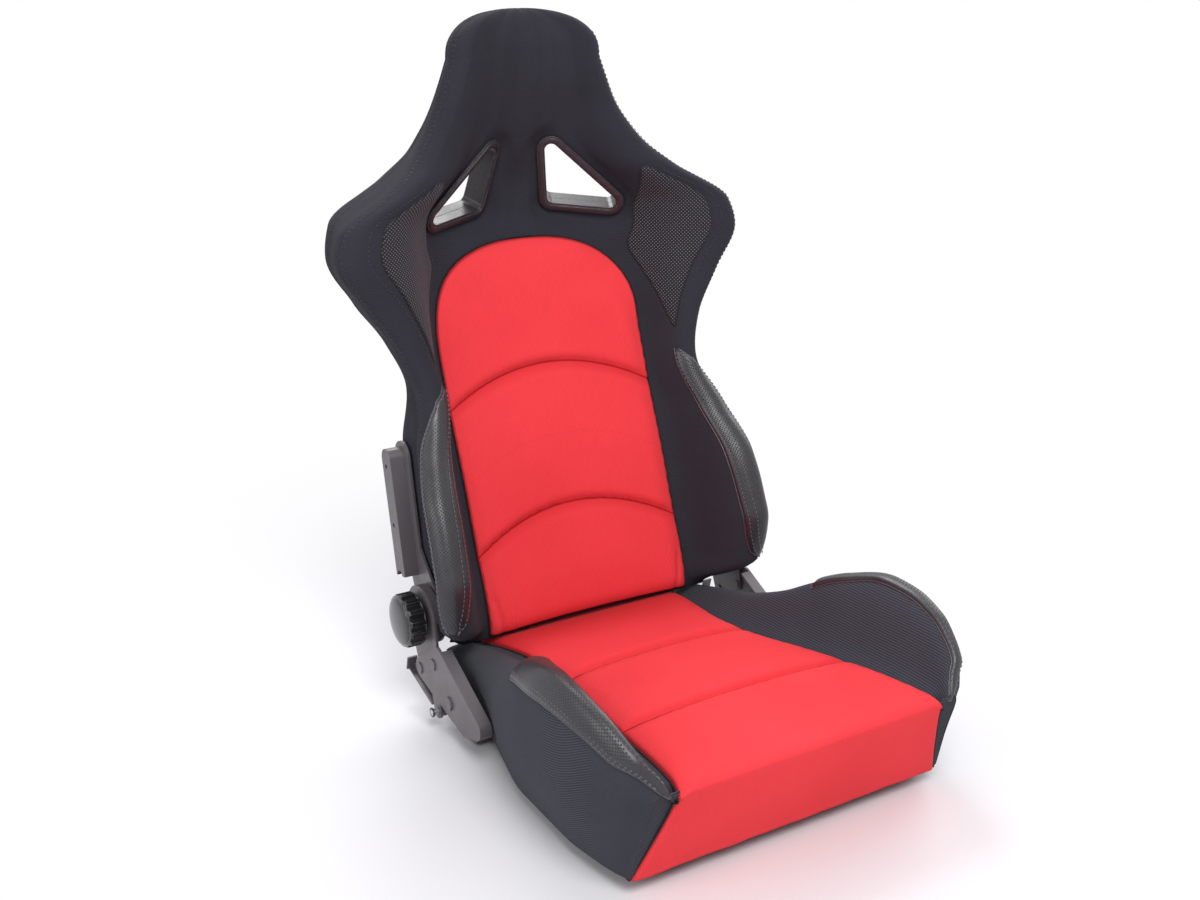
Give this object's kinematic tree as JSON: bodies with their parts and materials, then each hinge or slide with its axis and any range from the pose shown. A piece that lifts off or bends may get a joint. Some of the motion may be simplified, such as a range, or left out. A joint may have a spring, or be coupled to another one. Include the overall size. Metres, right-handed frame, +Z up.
{
  "type": "reclining sports seat",
  "caption": "Reclining sports bucket seat: bolstered cushion and winged back with harness slots, knob recliners, fold-forward plates with a release lever, rails with bolt holes.",
  "frame": {"origin": "centre of the four base bolt holes, on the mounting plane", "axes": "+Z up, the seat faces -Y, +X is to the right of someone who faces the seat"},
  "size_m": [0.604, 0.7424, 0.895],
  "materials": {
    "red_cloth": "ribbed red knit",
    "black_cloth": "fine black woven cloth",
    "black_leather": "perforated black leatherette",
    "mesh_cloth": "black spacer mesh",
    "black_paint": "satin black powder coat",
    "black_plastic": "moulded black plastic",
    "knob_plastic": "glossy black plastic",
    "zinc": "zinc plated",
    "steel": "bare steel tube"
  },
  "bodies": {
    "seat_base": {"base_frame": "black_paint", "weld_nuts": "zinc", "seat_springs": "zinc", "spring_clips": "black_paint", "seat_cushion": "black_cloth", "seat_bolster_left": "black_cloth", "seat_bolster_right": "black_cloth", "seat_pad": "red_cloth", "seat_leather_left": "black_leather", "seat_leather_right": "black_leather", "hinge_base_left": "black_paint", "hinge_base_right": "black_paint", "fold_pivots": "black_paint", "latch_pins": "zinc", "base_bolts": "zinc"},
    "fold_frame": {"fold_plate_left": "black_paint", "fold_plate_right": "black_paint", "recliner_lower_left": "black_paint", "recliner_lower_right": "black_paint", "plate_rivets": "black_paint", "lever_springs": "zinc"},
    "fold_lever": {"release_lever_left": "black_paint", "release_lever_right": "black_paint", "release_rod": "zinc", "rod_clips": "black_plastic"},
    "recline_knob": {"knob": "knob_plastic", "cross_shaft": "zinc", "shaft_cap": "black_plastic"},
    "backrest": {"recliner_upper_left": "black_paint", "recliner_upper_right": "black_paint", "recliner_drum_left": "black_paint", "recliner_drum_right": "black_paint", "upper_arm_left": "black_paint", "upper_arm_right": "black_paint", "arm_bolts": "zinc", "back_frame": "steel", "head_frame": "steel", "hip_cover": "black_cloth", "back_cover": "black_cloth", "shoulder_cover": "black_cloth", "head_cover": "black_cloth", "back_pad": "red_cloth", "wing_mesh_left": "mesh_cloth", "wing_mesh_right": "mesh_cloth", "back_leather_left": "black_leather", "back_leather_right": "black_leather", "slot_bezel_left": "black_plastic", "slot_bezel_right": "black_plastic", "slot_liner_left": "black_plastic", "slot_liner_right": "black_plastic"}
  },
  "joints": [
    {"name": "back_fold", "type": "hinge", "parent": "seat_base", "child": "fold_frame", "pos_m": [0, 0.159, 0.053], "axis": [1, 0, 0], "range_deg": [0, 40]},
    {"name": "back_recline", "type": "hinge", "parent": "fold_frame", "child": "backrest", "pos_m": [0, 0.248, 0.139], "axis": [-1, 0, 0], "range_deg": [-2, 60]},
    {"name": "knob_turn", "type": "hinge", "parent": "fold_frame", "child": "recline_knob", "pos_m": [0, 0.248, 0.139], "axis": [-1, 0, 0], "range_deg": [-60, 1800]},
    {"name": "lever_lift", "type": "hinge", "parent": "fold_frame", "child": "fold_lever", "pos_m": [0, 0.198, 0.023], "axis": [1, 0, 0], "range_deg": [0, 8], "stiffness_Nm_per_rad": 4, "springref_deg": -8.59}
  ],
  "couplings": [
    {"joint": "knob_turn", "follows": "back_recline", "ratio": 30}
  ]
}
